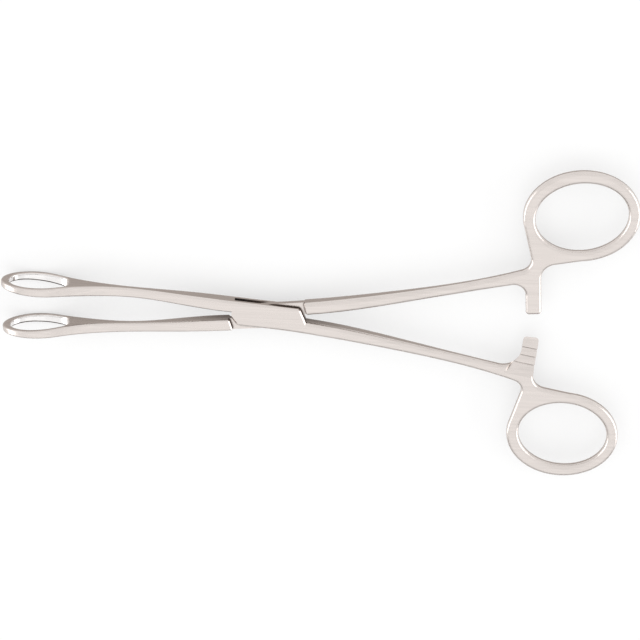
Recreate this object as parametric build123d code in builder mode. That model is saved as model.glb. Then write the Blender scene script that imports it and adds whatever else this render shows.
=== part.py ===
from build123d import *
import os
from math import cos, radians, sin

# Sponge holding forceps, 7 inch pattern: two forged halves that cross in a box lock
# Each half is drawn as it lies when the jaws are closed, and turned open at the end
# +X points to the finger rings, and +Z along the lock pin to the side that the outer half's teeth face
# The origin is on the pin's axis, on the back face of the box

# Main lengths from the pin's axis, mm
jaw_tip = 75.0
ring_x = 87.2
ring_y = 27.5

# Half of the angle between the halves as drawn, degrees, and the jaws' gap when they close, mm
rest_half_angle = 4.59
closed_jaw_gap = 0.20

# Thickness along Z, mm
box_thickness = 3.9
mid_shank_thickness = 3.3
ring_thickness = 2.6

# Box lock, mm and degrees
box_width = 7.4
shoulder_distance = 10.7
shoulder_clearance = 0.5
mortise_clearance = 0.25
cheek_thickness = 1.2
web_clearance = 0.10
cheek_right_x = 10.6
cheek_right_slant = 2.0
cheek_left_x = 10.2
cheek_left_slant = 2.2
cheek_left_y = 1.2
cheek_bevel = 0.40
shoulder_bevel = 0.30
right_shoulder_angle = 9.5
left_shoulder_angle = 193.4
pin_diameter = 2.8
pin_running_clearance = 0.04

# Handle shank edges: at the box, at mid length and at the ring's neck, mm, and their slopes at the ends
root_run = 4.0
root_outer_y = 4.2
inner_start_y = 0.30
inner_start_run = 0.6
inner_start_slope = 0.05
inner_rise_run = 12.0
inner_rise_y = 1.20
mid_handle_share = 0.43
mid_outer_y = 6.2
mid_inner_y = 3.05
neck_to_ratchet = 7.9
neck_outer_y = 10.5
neck_inner_y = 7.1
neck_outer_slope = 0.30
neck_inner_slope = 0.10
shank_edge_radius = 1.0

# Finger rings, mm and degrees
finger_length = 25.3
finger_width = 20.3
finger_shift_x = 0.1
finger_shift_y = -0.25
finger_tilt = 3.6
ring_band_side = 3.3
ring_band_end = 3.3
ring_edge_radius = 1.0
ring_neck_radius = 3.3
ring_crotch_radius = 4.2
neck_angle = 12.0
neck_corner_y = 12.5
crotch_drop = 1.3

# Ratchet, mm and degrees
ratchet_to_ring = 13.3
ratchet_width = 4.4
male_ratchet_reach = 1.9
female_ratchet_reach = 2.2
male_ratchet_root_radius = 3.3
female_ratchet_root_radius = 5.0
arm_root_y = 7.8
ratchet_tip_radius = 1.0
ratchet_face_gap = 0.16
tooth_pitch = 2.55
tooth_depth = 0.55
tooth_count = 3
tooth_slant = 6.0
male_first_crest_y = -1.05
female_first_crest_y = 0.95
scoop_run = 3.6
scoop_side_run = 2.4
scoop_side_reach = 0.6
scoop_rim_slope = 0.2

# Jaw shanks and loops, mm, and the slope of a loop's outer face at its tip
loop_width = 11.6
loop_tip_length = 9.3
loop_heel_length = 9.2
loop_heel_width = 7.0
loop_neck_length = 16.2
loop_neck_width = 3.7
loop_heel_outer = 3.1
loop_tip_thickness = 2.0
loop_tip_slope = 0.03
loop_rim = 1.35
loop_tip_rim = 2.2
window_length = 16.6
window_shoulder_run = 2.9
window_shoulder_share = 0.72
face_length = 18.0
jaw_bow_run = 12.0
jaw_bow_outer = 3.75
jaw_bow_inner = 1.0
jaw_root_run = 3.3
jaw_root_outer = 3.8
jaw_root_inner = 0.35
jaw_edge_start = 1.0
jaw_edge_radius = 0.55

half_box = box_thickness / 2
half_ring = ring_thickness / 2
half_arm = ratchet_width / 2
half_width = box_width / 2
half_mortise = half_box - cheek_thickness
half_web = half_mortise - web_clearance
half_loop = loop_width / 2
half_window = half_loop - loop_rim
web_radius = shoulder_distance - shoulder_clearance
pin_radius = pin_diameter / 2
jaw_face_y = closed_jaw_gap / 2

root_x = shoulder_distance + root_run
mid_handle_x = mid_handle_share * ring_x
ratchet_x = ring_x - ratchet_to_ring
neck_x = ratchet_x - neck_to_ratchet
inner_start_x = cheek_right_x + inner_start_run
ring_long = finger_length / 2 + ring_band_end
ring_short = finger_width / 2 + ring_band_side
crotch_y = ring_y - ring_short - crotch_drop

jaw_root_x = shoulder_distance + jaw_root_run
loop_wide_x = jaw_tip - loop_tip_length
loop_heel_x = loop_wide_x - loop_heel_length
loop_neck_x = loop_wide_x - loop_neck_length
jaw_bow_x = loop_neck_x - jaw_bow_run
jaw_face_x = jaw_tip - face_length
window_tip_x = jaw_tip - loop_tip_rim
window_heel_x = window_tip_x - window_length

crest_z = ratchet_face_gap / 2
root_z = crest_z + tooth_depth

# Far enough to pass right through a half along any axis
beyond = ring_x + finger_length


def handle_plan(reach):
    """Outline in plan of a handle on +Y: shank, ratchet arm, and the ring's outside"""
    neck_top = (
        ring_x - ring_long * cos(radians(neck_angle)),
        ring_y - ring_short * sin(radians(neck_angle)),
    )
    with BuildSketch() as plan:
        with BuildLine():
            outer = Spline(
                (0, half_width),
                (root_x, root_outer_y),
                (mid_handle_x, mid_outer_y),
                (neck_x, neck_outer_y),
                (ratchet_x, neck_corner_y),
                tangents=[(1, 0), (1, neck_outer_slope)],
            )
            inner = Spline(
                (inner_start_x, inner_start_y),
                (inner_start_x + inner_rise_run, inner_rise_y),
                (mid_handle_x, mid_inner_y),
                (neck_x, neck_inner_y),
                (ratchet_x - half_arm, arm_root_y),
                tangents=[(1, inner_start_slope), (1, neck_inner_slope)],
            )
            Polyline(
                outer @ 1,
                neck_top,
                (ring_x, ring_y),
                (ring_x, ring_y - ring_short),
                (ratchet_x + half_arm, crotch_y),
                (ratchet_x + half_arm, -reach),
                (ratchet_x - half_arm, -reach),
                inner @ 1,
            )
            Polyline(outer @ 0, (0, inner_start_y), inner @ 0)
        make_face()
        with Locations((ring_x, ring_y)):
            Ellipse(ring_long, ring_short)
    return plan.sketch


def jaw_plan():
    """Outline in plan of a jaw on +Y: bowed shank and the loop seen edge on"""
    with BuildSketch() as plan:
        with BuildLine():
            outer = Spline(
                (0, half_width),
                (-jaw_root_x, jaw_root_outer),
                (-jaw_bow_x, jaw_bow_outer),
                (-loop_heel_x, loop_heel_outer),
                (-jaw_tip, jaw_face_y + loop_tip_thickness),
                tangents=[(-1, 0), (-1, -loop_tip_slope)],
            )
            inner = Spline(
                (-jaw_root_x / 2, jaw_root_inner),
                (-jaw_root_x, jaw_root_inner),
                (-jaw_bow_x, jaw_bow_inner),
                (-jaw_face_x, jaw_face_y),
                tangents=[(-1, 0), (-1, 0)],
            )
            Polyline(outer @ 1, (-jaw_tip, jaw_face_y), inner @ 1)
            Polyline(outer @ 0, (0, jaw_root_inner), inner @ 0)
        make_face()
    return plan.sketch


def side_outline():
    """Outline of a whole half seen along Y, from the loop's tip to the ring's end"""
    with BuildSketch(Plane.XZ) as side:
        with BuildLine():
            EllipticalCenterArc((-loop_wide_x, 0), loop_tip_length, half_loop, 90, arc_size=90)
            loop = Spline(
                (-loop_wide_x, half_loop),
                (-loop_heel_x, loop_heel_width / 2),
                (-loop_neck_x, loop_neck_width / 2),
                (-jaw_root_x, half_box),
                tangents=[(1, 0), (1, 0)],
            )
            taper = Spline(
                (root_x, half_box),
                (mid_handle_x, mid_shank_thickness / 2),
                (neck_x, half_ring),
                tangents=[(1, 0), (1, 0)],
            )
            Line(loop @ 1, taper @ 0)
            Polyline(taper @ 1, (beyond, half_ring), (beyond, 0), (-jaw_tip, 0))
        make_face()
        mirror(about=Plane.XZ)
    return side.sketch


def window_outline():
    """Outline of the opening in a jaw's loop, seen along Y"""
    with BuildSketch(Plane.XZ) as window:
        with BuildLine():
            EllipticalCenterArc(
                (-loop_wide_x, 0), window_tip_x - loop_wide_x, half_window, 90, arc_size=90
            )
            Spline(
                (-loop_wide_x, half_window),
                (-window_heel_x - window_shoulder_run, half_window * window_shoulder_share),
                (-window_heel_x, 0),
                tangents=[(1, 0), (0, -1)],
            )
            Line((-window_tip_x, 0), (-window_heel_x, 0))
        make_face()
        mirror(about=Plane.XZ)
    return window.sketch


def upright_near(part, x, y):
    """The edge along Z that stands nearest to a point in plan"""
    return part.edges().filter_by(Axis.Z).sort_by_distance((x, y, 0))[0]


def face_edges_near(part, x, y):
    """The edge of the front face and of the back face that lie nearest to a point in plan"""
    level = part.edges().filter_by(lambda edge: abs(abs(edge.center().Z) - half_box) < cheek_bevel / 2)
    front = level.sort_by_distance((x, y, half_box))[0]
    back = level.sort_by_distance((x, y, -half_box))[0]
    return [front, back]


def rims(part, low_x, high_x):
    """Long edges of the front and back faces whose middles lie between two places along X"""
    sloping = part.edges().filter_by(Axis.Z, reverse=True).filter_by(Axis.Y, reverse=True)
    outer = sloping.filter_by(lambda edge: abs(edge.center().Z) > half_ring / 2)
    return outer.filter_by_position(Axis.X, low_x, high_x)


def forged_half(middle, reach, arm_root_radius):
    """One half with its handle on +Y and its jaw on -Y, before the box lock is cut"""
    with BuildPart() as blank:
        with BuildSketch():
            add(handle_plan(reach))
            mirror(jaw_plan(), about=Plane.XZ)
            add(middle)
        extrude(amount=loop_width, both=True)
        fillet(upright_near(blank.part, ratchet_x, neck_corner_y), ring_neck_radius)
        fillet(upright_near(blank.part, ratchet_x + half_arm, crotch_y), ring_crotch_radius)
        fillet(upright_near(blank.part, ratchet_x - half_arm, arm_root_y), arm_root_radius)
        fillet(upright_near(blank.part, ratchet_x - half_arm, -reach), ratchet_tip_radius)
        fillet(upright_near(blank.part, ratchet_x + half_arm, -reach), ratchet_tip_radius)
        with BuildSketch():
            finger_centre = (ring_x + finger_shift_x, ring_y + finger_shift_y, 0)
            with Locations(Location(finger_centre, (0, 0, finger_tilt))):
                Ellipse(finger_length / 2, finger_width / 2)
        extrude(amount=loop_width, both=True, mode=Mode.SUBTRACT)
        extrude(side_outline(), amount=beyond, both=True, mode=Mode.INTERSECT)
        extrude(window_outline(), amount=beyond, both=True, mode=Mode.SUBTRACT)
        finger_rims = blank.edges().filter_by(lambda edge: edge.is_closed and edge.center().X > 0)
        fillet(finger_rims, ring_edge_radius)
        handle_rims = rims(blank.part, root_x, beyond).filter_by(lambda edge: not edge.is_closed)
        fillet(handle_rims, shank_edge_radius)
        fillet(rims(blank.part, -beyond, -jaw_root_x - jaw_edge_start), jaw_edge_radius)
    return blank


def ratchet_cut(first_crest, slant):
    """What is cut from the front of a ratchet arm on +Y: a scoop with saw teeth on its floor"""
    start_y = first_crest - 2 * tooth_pitch
    last_crest = first_crest + (tooth_count - 1) * tooth_pitch
    scoop_left = -half_arm - scoop_side_reach
    teeth = [(start_y, box_thickness), (start_y, -root_z), (first_crest - tooth_pitch, -root_z)]
    for tooth in range(tooth_count):
        crest_y = first_crest + tooth * tooth_pitch
        teeth += [(crest_y, -crest_z), (crest_y, -root_z)]
    with BuildPart() as cut:
        with BuildSketch(Plane.YZ):
            with BuildLine():
                floor = Polyline(*teeth)
                ramp = Spline(
                    (last_crest, -root_z),
                    (last_crest + scoop_run, half_ring),
                    tangents=[(1, 0), (1, scoop_rim_slope)],
                )
                Polyline(ramp @ 1, (last_crest + scoop_run, box_thickness), floor @ 0)
            make_face()
        extrude(amount=beyond, both=True)
        with BuildSketch(Plane.XZ):
            with BuildLine():
                side = Spline(
                    (scoop_left, -root_z),
                    (scoop_left - scoop_side_run, half_ring),
                    tangents=[(-1, 0), (-1, scoop_rim_slope)],
                )
                Polyline(
                    side @ 1,
                    (scoop_left - scoop_side_run, box_thickness),
                    (ratchet_width, box_thickness),
                    (ratchet_width, -root_z),
                    side @ 0,
                )
            make_face()
        extrude(amount=beyond, both=True, mode=Mode.INTERSECT)
    return cut.part.moved(Location((ratchet_x, 0, 0), (0, 0, slant)))


def shoulder_line(angle):
    """Two far points on the shoulder line that faces the pin from one side"""
    out = Vector(cos(radians(angle)), sin(radians(angle)), 0)
    along = Vector(-sin(radians(angle)), cos(radians(angle)), 0)
    middle = out * shoulder_distance
    return [middle - along * box_width, middle + along * box_width]


with BuildSketch() as web_outline:
    Circle(web_radius)
    Rectangle(beyond, box_width, mode=Mode.INTERSECT)

with BuildSketch() as cheek_outline:
    with BuildLine():
        Polyline(
            (-cheek_left_x, -half_width),
            (cheek_right_x - cheek_right_slant, -half_width),
            (cheek_right_x, inner_start_y),
            (cheek_right_x, half_width),
            (cheek_left_slant - cheek_left_x, half_width),
            (-cheek_left_x, cheek_left_y),
            close=True,
        )
    make_face()

with BuildSketch(Plane.XY.offset(half_web)) as recess_outline:
    with BuildLine():
        Polyline(
            *shoulder_line(right_shoulder_angle), *shoulder_line(left_shoulder_angle), close=True
        )
    make_face()

male_blank = forged_half(web_outline.sketch, male_ratchet_reach, male_ratchet_root_radius)
female_blank = forged_half(cheek_outline.sketch, female_ratchet_reach, female_ratchet_root_radius)

# Inner half: a thin web turns in the other half's mortise, and its teeth face back
with BuildPart() as male_forged:
    add(male_blank.part)
    with BuildPart(mode=Mode.SUBTRACT):
        extrude(recess_outline.sketch, amount=half_box)
        mirror(about=Plane.XY)
    for angle in (right_shoulder_angle, left_shoulder_angle):
        foot = Vector(cos(radians(angle)), sin(radians(angle)), 0) * shoulder_distance
        chamfer(face_edges_near(male_forged.part, foot.X, foot.Y), shoulder_bevel)
    Hole(pin_radius + pin_running_clearance)
    mirror(ratchet_cut(male_first_crest_y, -tooth_slant), about=Plane.XY, mode=Mode.SUBTRACT)

# Outer half: two cheeks hold the web between them, and its teeth face the front
with BuildPart() as female_forged:
    add(female_blank.part)
    right_end = (cheek_right_x - cheek_right_slant / 2, (inner_start_y - half_width) / 2)
    left_end = (cheek_left_slant / 2 - cheek_left_x, (half_width + cheek_left_y) / 2)
    chamfer(face_edges_near(female_forged.part, *right_end), cheek_bevel)
    chamfer(face_edges_near(female_forged.part, *left_end), cheek_bevel)
    with BuildSketch():
        Circle(web_radius + mortise_clearance)
    extrude(amount=half_mortise, both=True, mode=Mode.SUBTRACT)
    Hole(pin_radius)
    add(ratchet_cut(female_first_crest_y, tooth_slant), mode=Mode.SUBTRACT)

# Both halves turned open about the pin, and raised until the box's back face is at the origin
with BuildPart() as male_half:
    with Locations(Location((0, 0, half_box), (0, 0, rest_half_angle))):
        add(male_forged.part)

with BuildPart() as female_half:
    with Locations(Location((0, 0, half_box), (0, 0, -rest_half_angle))):
        add(female_forged.part.mirror(Plane.XZ))

# Riveted pin, ground flush with both cheeks
with BuildPart() as lock_pin:
    with BuildSketch():
        Circle(pin_radius)
    extrude(amount=box_thickness)

female_half.part.label = "female_half"
male_half.part.label = "male_half"
lock_pin.part.label = "lock_pin"

os.makedirs("parts", exist_ok=True)
export_step(female_half.part, "parts/female_half.step")
export_step(male_half.part, "parts/male_half.step")
export_step(lock_pin.part, "parts/lock_pin.step")
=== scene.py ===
from math import cos, radians, sin

import bpy
from mathutils import Matrix, Vector


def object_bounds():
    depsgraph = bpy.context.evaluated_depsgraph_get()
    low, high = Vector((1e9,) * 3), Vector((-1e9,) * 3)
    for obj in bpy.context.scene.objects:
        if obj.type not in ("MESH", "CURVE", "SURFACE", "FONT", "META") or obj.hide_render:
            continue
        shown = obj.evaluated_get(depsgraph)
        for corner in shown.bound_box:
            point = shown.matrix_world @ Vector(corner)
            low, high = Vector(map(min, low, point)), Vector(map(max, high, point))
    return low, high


# Sponge holding forceps in satin stainless steel, lying on a pale studio floor
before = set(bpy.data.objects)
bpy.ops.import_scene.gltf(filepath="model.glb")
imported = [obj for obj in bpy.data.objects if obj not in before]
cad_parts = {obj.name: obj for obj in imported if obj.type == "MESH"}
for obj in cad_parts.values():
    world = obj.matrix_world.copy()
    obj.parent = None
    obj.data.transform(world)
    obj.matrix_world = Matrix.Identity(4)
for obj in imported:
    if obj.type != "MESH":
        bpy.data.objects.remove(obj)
box_after_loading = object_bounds()

# Steel tones, as plain linear values: flats, sides with painted shade, hollows with painted shade,
# and window walls with a painted highlight
STEEL_FLAT = (0.775, 0.715, 0.68, 1.0)
STEEL_SIDE_SHADE = (0.40, 0.34, 0.305, 1.0)
STEEL_HOLLOW_SHADE = (0.14, 0.11, 0.095, 1.0)
STEEL_POLISHED_HIGHLIGHT = (0.96, 0.94, 0.93, 1.0)

# Painted shade on the sides: sides are told from ground flats by how far a surface faces along Z,
# from 0 to 1, and are painted darker. On the jaws, between these two places along X, the rounded
# rims come to count as sides too.
SIDE_STARTS = 0.0
SIDE_ENDS = 0.25
JAW_SIDE_ENDS = 0.90
JAW_SIDE_X = (-0.035, -0.055)

# Satin finish: cloudy gloss, long streaks from the grinding belt, and a fine grain
SATIN_ROUGHNESS = 0.27
ROUGHNESS_SPREAD = 0.06
CLOUD_SIZE = 0.006
CLOUD_DETAIL = 3.0
CLOUD_DEPTH = 0.04
CLOUD_NOISE = (0.3, 0.7)
STREAK_LENGTH = 0.030
STREAK_WIDTH = 0.0006
STREAK_DETAIL = 3.0
STREAK_DEPTH = 0.10
STREAK_NOISE = (0.25, 0.75)
GRAIN_LENGTH = 0.004
GRAIN_WIDTH = 0.00012
GRAIN_DETAIL = 2.0
GRAIN_DEPTH = 0.000004
GRAIN_STRENGTH = 0.35

# Jaw windows, which run through along Y: their walls are polished up to the rims and painted paler
# as a highlight, and the rims at the back are painted dark as shade
POLISHED_ROUGHNESS = 0.14
WINDOW_MIDDLE = (-0.0645, 0.0, 0.00195)
WINDOW_PLANE = (1.0, 0.0, 1.0)
WINDOW_HEEL_X = -0.0565
WINDOW_HEEL_BLEND = 0.0005
WALL_REACH = (0.0001, 0.0010)
WALL_RIM_STARTS = 0.25
WALL_RIM_ENDS = 0.75
BACK_RIM_STARTS = -0.03
BACK_RIM_ENDS = -0.25

# Painted shade in hollows, from the wide gaps between the halves down to the tooth roots: how far
# off a surface still shades, and the shares of open sky at which the painted shade is darkest and
# clear
HOLLOW_SAMPLES = 12
GAP_REACH = 0.016
GAP_DARK = 0.15
GAP_CLEAR = 0.50
ROOT_REACH = 0.0008
ROOT_DARK = 0.60
ROOT_CLEAR = 0.93

# Floor: pale paper
FLOOR_SIZE = 6.0
FLOOR_COLOUR = (0.97, 0.97, 0.97, 1.0)
FIBRE_COLOUR = (0.9603, 0.9603, 0.9603, 1.0)
FIBRES_PER_METRE = 300.0
FLOOR_ROUGHNESS = 0.9
FLOOR_SPECULAR = 0.1
FLOOR_WHITENESS = 0.55

# Sky: brightest overhead, and darker low down beyond the instrument
SKY_TOP = 1.0
SKY_TOP_STARTS = 0.6
SKY_HORIZON_NEAR = 0.95
SKY_HORIZON_FAR = 0.10
SKY_NEAR_Y = -0.2
SKY_FAR_Y = -0.8

# Lamps: one large soft lamp overhead, and an upright strip lamp at each end
LAMP_SIZE = 0.9
LAMP_HEIGHT = 1.1
LAMP_POWER = 0.25
LAMP_TIP = radians(-30.0)
STRIP_WIDTH = 1.0
STRIP_HEIGHT = 0.55
STRIP_FOOT = 0.02
STRIP_DISTANCE = 0.9
STRIP_TURN = radians(8.0)
STRIP_POWER = 2.6

# Camera: tipped from straight above towards the upper ring, as in the photograph
CAMERA_TIP = radians(27.74)
CAMERA_TURN = radians(1.19)
CAMERA_ROLL = radians(-1.885)
CAMERA_DISTANCE = 0.6354
CAMERA_AIM = Vector((0.0145, -0.0013, 0.0012))
VIEW_WIDTH = 0.1792
SENSOR_WIDTH = 36.0
NEAREST_SEEN = 0.01

# Layout of the node trees, for whoever opens them in Blender
NODES_IN_A_ROW = 8
NODE_WIDTH = 220
NODE_HEIGHT = 320


def add_node(tree, kind, **settings):
    """Add a node in the next free place of the tree's rows."""
    row, column = divmod(len(tree.nodes), NODES_IN_A_ROW)
    node = tree.nodes.new(kind)
    node.location = (column * NODE_WIDTH, -row * NODE_HEIGHT)
    for name, value in settings.items():
        setattr(node, name, value)
    return node


def feed(tree, socket, source):
    """Link a socket to another node's output, or give it a plain value."""
    if isinstance(source, bpy.types.NodeSocket):
        tree.links.new(source, socket)
    else:
        socket.default_value = source


def maths(tree, operation, *sources):
    node = add_node(tree, "ShaderNodeMath", operation=operation)
    for socket, source in zip(node.inputs, sources):
        feed(tree, socket, source)
    return node.outputs["Value"]


def vector_maths(tree, operation, first, second, result="Vector"):
    node = add_node(tree, "ShaderNodeVectorMath", operation=operation)
    feed(tree, node.inputs[0], first)
    feed(tree, node.inputs[1], second)
    return node.outputs[result]


def split(tree, vector):
    """The X, Y and Z outputs of a vector."""
    node = add_node(tree, "ShaderNodeSeparateXYZ")
    feed(tree, node.inputs["Vector"], vector)
    return node.outputs


def ramp(tree, value, start, end, low=0.0, high=1.0, shape="SMOOTHSTEP"):
    """Low before the start, high after the end."""
    node = add_node(tree, "ShaderNodeMapRange", interpolation_type=shape)
    feed(tree, node.inputs["Value"], value)
    feed(tree, node.inputs["From Min"], start)
    feed(tree, node.inputs["From Max"], end)
    feed(tree, node.inputs["To Min"], low)
    feed(tree, node.inputs["To Max"], high)
    return node.outputs["Result"]


def mix(tree, share, first, second, **settings):
    """The first where the share is 0, the second where it is 1."""
    node = add_node(tree, "ShaderNodeMix", **settings)
    feed(tree, node.inputs["Factor"], share)
    feed(tree, node.inputs["A"], first)
    feed(tree, node.inputs["B"], second)
    return node.outputs["Result"]


def mix_tones(tree, share, first, second):
    return mix(tree, share, first, second, data_type="RGBA")


def shade(tree, tone, brightness):
    return mix(tree, 1.0, tone, brightness, data_type="RGBA", blend_type="MULTIPLY")


def noise(tree, place, scale, detail):
    node = add_node(tree, "ShaderNodeTexNoise")
    feed(tree, node.inputs["Vector"], place)
    node.inputs["Scale"].default_value = scale
    node.inputs["Detail"].default_value = detail
    return node.outputs["Fac"]


def brushed_noise(tree, place, length, width, detail):
    """Noise that is drawn out along the instrument."""
    stretch = add_node(tree, "ShaderNodeMapping")
    feed(tree, stretch.inputs["Vector"], place)
    stretch.inputs["Scale"].default_value = (1 / length, 1 / width, 1 / width)
    return noise(tree, stretch.outputs["Vector"], 1.0, detail)


def hollow_share(tree, reach, dark, clear):
    """From 0 in a hollow to 1 in the open, as seen over the given reach, for painted shade."""
    light = add_node(tree, "ShaderNodeAmbientOcclusion", samples=HOLLOW_SAMPLES)
    light.inputs["Distance"].default_value = reach
    return ramp(tree, light.outputs["AO"], dark, clear)


def window_share(tree, position, normal):
    """1 where a surface faces the middle of the jaw windows, and 0 on the outside of the jaws."""
    to_middle = vector_maths(tree, "SUBTRACT", WINDOW_MIDDLE, position)
    across = vector_maths(tree, "MULTIPLY", to_middle, WINDOW_PLANE)
    inward = vector_maths(tree, "DOT_PRODUCT", across, normal, "Value")
    wall = ramp(tree, inward, *WALL_REACH)
    heel_end = WINDOW_HEEL_X - WINDOW_HEEL_BLEND
    beyond_heel = ramp(tree, split(tree, position)["X"], WINDOW_HEEL_X, heel_end, shape="LINEAR")
    return maths(tree, "MULTIPLY", wall, beyond_heel)


def satin_steel(name):
    """Ground satin steel, with painted shade on sides and hollows, and a painted highlight in the
    windows.
    """
    material = bpy.data.materials.new(name)
    material.use_nodes = True
    tree = material.node_tree
    shader = tree.nodes["Principled BSDF"]
    place = add_node(tree, "ShaderNodeTexCoord")
    position = place.outputs["Object"]
    normal = place.outputs["Normal"]
    facing = split(tree, normal)

    # Painted shade on the sides, against the ground flats
    along = split(tree, position)["X"]
    side_ends = ramp(tree, along, *JAW_SIDE_X, SIDE_ENDS, JAW_SIDE_ENDS, shape="LINEAR")
    flat = ramp(tree, maths(tree, "ABSOLUTE", facing["Z"]), SIDE_STARTS, side_ends)
    tone = mix_tones(tree, flat, STEEL_SIDE_SHADE, STEEL_FLAT)

    # Polished window walls, with a paler tone as a painted highlight
    window = window_share(tree, position, normal)
    square = ramp(tree, maths(tree, "ABSOLUTE", facing["Y"]), WALL_RIM_ENDS, WALL_RIM_STARTS)
    polish_and_highlight = maths(tree, "MULTIPLY", window, square)
    tone = mix_tones(tree, polish_and_highlight, tone, STEEL_POLISHED_HIGHLIGHT)

    # Painted shade: little light gets between the halves, into the tooth roots and onto the
    # windows' back rims, so these are painted in the hollow tone
    gaps = hollow_share(tree, GAP_REACH, GAP_DARK, GAP_CLEAR)
    roots = hollow_share(tree, ROOT_REACH, ROOT_DARK, ROOT_CLEAR)
    back_rim = ramp(tree, facing["Y"], BACK_RIM_STARTS, BACK_RIM_ENDS)
    back_rim_shade = maths(tree, "MULTIPLY", window, back_rim)
    openness = mix(tree, back_rim_shade, maths(tree, "MULTIPLY", gaps, roots), 0.0)
    tone = mix_tones(tree, openness, STEEL_HOLLOW_SHADE, tone)

    # Cloudy gloss, and long faint streaks
    clouds = noise(tree, position, 1 / CLOUD_SIZE, CLOUD_DETAIL)
    tone = shade(tree, tone, ramp(tree, clouds, *CLOUD_NOISE, 1.0 - CLOUD_DEPTH, shape="LINEAR"))
    streaks = brushed_noise(tree, position, STREAK_LENGTH, STREAK_WIDTH, STREAK_DETAIL)
    tone = shade(tree, tone, ramp(tree, streaks, *STREAK_NOISE, 1.0 - STREAK_DEPTH, shape="LINEAR"))
    smoothest = SATIN_ROUGHNESS - ROUGHNESS_SPREAD
    roughest = SATIN_ROUGHNESS + ROUGHNESS_SPREAD
    satin = ramp(tree, clouds, *CLOUD_NOISE, smoothest, roughest, shape="LINEAR")

    # Fine grain
    bump = add_node(tree, "ShaderNodeBump")
    bump.inputs["Strength"].default_value = GRAIN_STRENGTH
    bump.inputs["Distance"].default_value = GRAIN_DEPTH
    grain = brushed_noise(tree, position, GRAIN_LENGTH, GRAIN_WIDTH, GRAIN_DETAIL)
    feed(tree, bump.inputs["Height"], grain)

    shader.inputs["Metallic"].default_value = 1.0
    feed(tree, shader.inputs["Base Color"], tone)
    feed(tree, shader.inputs["Roughness"], mix(tree, polish_and_highlight, satin, POLISHED_ROUGHNESS))
    feed(tree, shader.inputs["Normal"], bump.outputs["Normal"])
    return material


def floor_paper(name):
    """Pale paper that looks white to the camera and in the steel, and keeps part of the shadow."""
    material = bpy.data.materials.new(name)
    material.use_nodes = True
    tree = material.node_tree
    shader = tree.nodes["Principled BSDF"]
    shader.inputs["Roughness"].default_value = FLOOR_ROUGHNESS
    shader.inputs["Specular IOR Level"].default_value = FLOOR_SPECULAR
    place = add_node(tree, "ShaderNodeTexCoord")
    fibres = add_node(tree, "ShaderNodeTexNoise")
    fibres.inputs["Scale"].default_value = FIBRES_PER_METRE
    feed(tree, fibres.inputs["Vector"], place.outputs["Object"])
    tone = mix_tones(tree, fibres.outputs["Fac"], FLOOR_COLOUR, FIBRE_COLOUR)
    feed(tree, shader.inputs["Base Color"], tone)

    path = add_node(tree, "ShaderNodeLightPath").outputs
    seen = maths(tree, "MAXIMUM", path["Is Camera Ray"], path["Is Glossy Ray"])
    seen = maths(tree, "MAXIMUM", seen, path["Is Transmission Ray"])
    white_part = maths(tree, "MULTIPLY", seen, FLOOR_WHITENESS)
    white = add_node(tree, "ShaderNodeEmission")
    surface = add_node(tree, "ShaderNodeMixShader")
    feed(tree, surface.inputs["Fac"], white_part)
    feed(tree, surface.inputs[1], shader.outputs["BSDF"])
    feed(tree, surface.inputs[2], white.outputs["Emission"])
    feed(tree, tree.nodes["Material Output"].inputs["Surface"], surface.outputs["Shader"])
    return material


def studio_floor(height):
    """A wide pale sheet that the instrument rests on."""
    half = FLOOR_SIZE / 2
    corners = [(-half, -half), (half, -half), (half, half), (-half, half)]
    mesh = bpy.data.meshes.new("floor")
    mesh.from_pydata([(x, y, height) for x, y in corners], [], [(0, 1, 2, 3)])
    mesh.materials.append(floor_paper("floor_paper"))
    floor = bpy.data.objects.new("floor", mesh)
    bpy.context.scene.collection.objects.link(floor)
    return floor


def studio_sky():
    """Soft light from all round."""
    world = bpy.data.worlds.new("studio_sky")
    world.use_nodes = True
    tree = world.node_tree
    place = add_node(tree, "ShaderNodeTexCoord")
    direction = split(tree, place.outputs["Generated"])
    horizon = ramp(tree, direction["Y"], SKY_FAR_Y, SKY_NEAR_Y, SKY_HORIZON_FAR, SKY_HORIZON_NEAR)
    sky = ramp(tree, direction["Z"], 0.0, SKY_TOP_STARTS, horizon, SKY_TOP)
    feed(tree, tree.nodes["Background"].inputs["Color"], sky)
    bpy.context.scene.world = world


def area_lamp(name, power, width, height, place, turn):
    """A soft lamp that the camera doesn't see."""
    light = bpy.data.lights.new(name, "AREA")
    light.shape = "RECTANGLE"
    light.size = width
    light.size_y = height
    light.energy = power
    lamp = bpy.data.objects.new(name, light)
    lamp.location = place
    lamp.rotation_euler = turn
    lamp.visible_camera = False
    bpy.context.scene.collection.objects.link(lamp)


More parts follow.
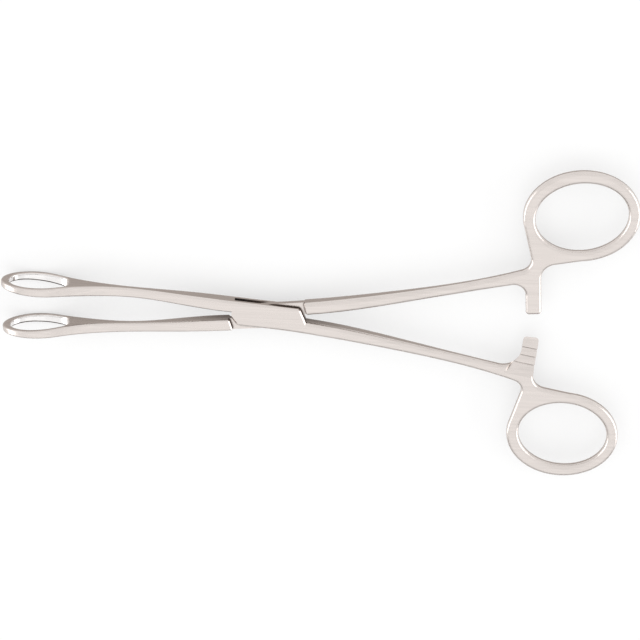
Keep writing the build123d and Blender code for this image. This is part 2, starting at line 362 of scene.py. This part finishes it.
def soft_lamp():
    """Above the instrument, on the side away from the camera."""
    place = (0.0, LAMP_HEIGHT * sin(LAMP_TIP), LAMP_HEIGHT * cos(LAMP_TIP))
    area_lamp("soft_lamp", LAMP_POWER, LAMP_SIZE, LAMP_SIZE, place, (LAMP_TIP, 0.0, 0.0))


def strip_lamp(name, bearing):
    """Upright beyond one end of the instrument, and turned to face it."""
    place = (
        STRIP_DISTANCE * cos(bearing),
        STRIP_DISTANCE * sin(bearing),
        STRIP_FOOT + STRIP_HEIGHT / 2,
    )
    turn = (radians(90.0), 0.0, bearing + radians(90.0))
    area_lamp(name, STRIP_POWER, STRIP_WIDTH, STRIP_HEIGHT, place, turn)


def photograph_camera():
    """Looks at the instrument from the photograph's angle, with the photograph's frame."""
    back = Vector((
        sin(CAMERA_TURN) * cos(CAMERA_TIP),
        sin(CAMERA_TIP),
        cos(CAMERA_TURN) * cos(CAMERA_TIP),
    ))
    level_right = Vector((0.0, 1.0, 0.0)).cross(back).normalized()
    level_up = back.cross(level_right)
    right = level_right * cos(CAMERA_ROLL) - level_up * sin(CAMERA_ROLL)
    up = level_right * sin(CAMERA_ROLL) + level_up * cos(CAMERA_ROLL)
    lens = bpy.data.cameras.new("photograph")
    lens.sensor_width = SENSOR_WIDTH
    lens.lens = SENSOR_WIDTH * CAMERA_DISTANCE / VIEW_WIDTH
    lens.clip_start = NEAREST_SEEN
    camera = bpy.data.objects.new("photograph", lens)
    standpoint = Matrix.Translation(CAMERA_AIM + back * CAMERA_DISTANCE)
    camera.matrix_world = standpoint @ Matrix((right, up, back)).transposed().to_4x4()
    bpy.context.scene.collection.objects.link(camera)
    bpy.context.scene.camera = camera


steel = satin_steel("satin_steel_with_painted_light")
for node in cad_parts.values():
    for material_slot in node.material_slots:
        material_slot.material = steel

floor = studio_floor(box_after_loading[0][2])
studio_sky()
soft_lamp()
strip_lamp("right_strip", -STRIP_TURN)
strip_lamp("left_strip", radians(180.0) + STRIP_TURN)
photograph_camera()
bpy.context.scene.view_settings.view_transform = "Standard"
